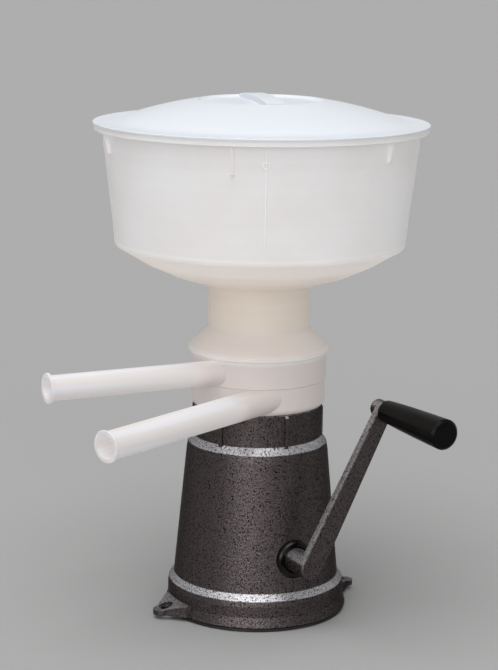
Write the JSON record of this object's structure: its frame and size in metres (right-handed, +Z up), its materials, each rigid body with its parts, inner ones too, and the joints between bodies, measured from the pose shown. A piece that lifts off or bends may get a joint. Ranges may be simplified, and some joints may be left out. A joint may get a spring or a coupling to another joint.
{
  "type": "hand-crank cream separator",
  "caption": "Hand-crank cream separator: lidded milk bowl over a float chamber, spouted receivers and a spinning drum of discs, driven by a geared crank in a cast housing.",
  "frame": {"origin": "on the spindle axis, at the underside of the base plate", "axes": "+Z up along the spindle; the crank shaft points along -Y; the mounting ears lie along X and the spouts point roughly along -X"},
  "size_m": [0.3547, 0.3406, 0.4576],
  "materials": {
    "hammered_paint": "dark grey-brown hammertone paint on cast aluminium, worn bright on the shoulders",
    "plate_paint": "semi-gloss dark paint",
    "black_rubber": "moulded rubber",
    "steel": "turned",
    "bearing_steel": "ground and polished",
    "bronze": "machined bronze",
    "drum_aluminium": "turned",
    "milky_plastic": "translucent milky polypropylene",
    "lid_plastic": "translucent milky polypropylene with a cool cast",
    "white_plastic": "moulded",
    "grip_plastic": "satin black moulding"
  },
  "bodies": {
    "base": {"housing": "hammered_paint", "base_plate": "plate_paint", "base_gasket": "black_rubber", "base_screws": "steel", "layshaft_plug": "steel", "footstep_screw": "steel", "footstep_locknut": "steel", "footstep_bush": "bronze", "thrust_ball": "bearing_steel", "bearing_damper_ring": "black_rubber", "bearing_outer_ring": "bearing_steel", "bearing_balls": "bearing_steel", "bearing_retainer": "steel", "retainer_screws": "steel", "crank_shaft_seal": "black_rubber", "crank_shaft_bush": "bronze", "layshaft_bushes": "bronze"},
    "crank": {"crank_arm": "hammered_paint", "crank_shaft": "steel", "crank_gear": "steel", "crank_gear_pin": "steel", "grip_axle": "steel"},
    "grip": {"crank_grip": "grip_plastic"},
    "layshaft": {"pinion_shaft": "steel", "worm_wheel": "bronze", "worm_wheel_pin": "steel"},
    "drum": {"spindle": "steel", "bearing_inner_ring": "bearing_steel", "drum_drive_pin": "steel", "drum_base": "drum_aluminium", "drum_discs": "drum_aluminium", "separating_disc": "drum_aluminium", "cream_screw": "steel", "drum_cover": "drum_aluminium", "drum_seal_ring": "black_rubber", "drum_nut": "drum_aluminium"},
    "skim_receiver": {"skim_receiver": "milky_plastic"},
    "cream_receiver": {"cream_receiver": "milky_plastic"},
    "float_chamber": {"float_chamber": "milky_plastic"},
    "float": {"float_shell": "white_plastic", "float_lid": "white_plastic"},
    "bowl": {"milk_bowl": "milky_plastic"},
    "valve": {"valve_plug": "white_plastic", "valve_seal": "black_rubber"},
    "lid": {"bowl_lid": "lid_plastic"}
  },
  "joints": [
    {"name": "crank_turn", "type": "hinge", "parent": "base", "child": "crank", "pos_m": [0, -0.08, 0.0612], "axis": [0, 1, 0], "continuous": true},
    {"name": "grip_spin", "type": "hinge", "parent": "crank", "child": "grip", "pos_m": [0.06972, -0.15, 0.19344], "axis": [0, 1, 0], "continuous": true},
    {"name": "layshaft_spin", "type": "hinge", "parent": "base", "child": "layshaft", "pos_m": [0.026, 0, 0.0957], "axis": [0, 1, 0], "continuous": true},
    {"name": "drum_spin", "type": "hinge", "parent": "base", "child": "drum", "pos_m": [0, 0, 0.15], "axis": [0, 0, 1], "continuous": true},
    {"name": "skim_receiver_lift", "type": "slide", "parent": "base", "child": "skim_receiver", "axis": [0, 0, 1], "range_m": [0, 0.12]},
    {"name": "cream_receiver_swivel", "type": "hinge", "parent": "skim_receiver", "child": "cream_receiver", "pos_m": [0, 0, 0.21], "axis": [0, 0, 1], "continuous": true},
    {"name": "float_chamber_lift", "type": "slide", "parent": "cream_receiver", "child": "float_chamber", "axis": [0, 0, 1], "range_m": [0, 0.08]},
    {"name": "float_rise", "type": "slide", "parent": "float_chamber", "child": "float", "axis": [0, 0, 1], "range_m": [0, 0.008]},
    {"name": "milk_bowl_lift", "type": "slide", "parent": "float_chamber", "child": "bowl", "axis": [0, 0, 1], "range_m": [0, 0.1]},
    {"name": "valve_plug_lift", "type": "slide", "parent": "bowl", "child": "valve", "axis": [0, 0, 1], "range_m": [0, 0.04]},
    {"name": "lid_lift", "type": "slide", "parent": "bowl", "child": "lid", "axis": [0, 0, 1], "range_m": [0, 0.12]}
  ],
  "couplings": [
    {"joint": "layshaft_spin", "follows": "crank_turn", "ratio": -8},
    {"joint": "drum_spin", "follows": "crank_turn", "ratio": 152}
  ]
}
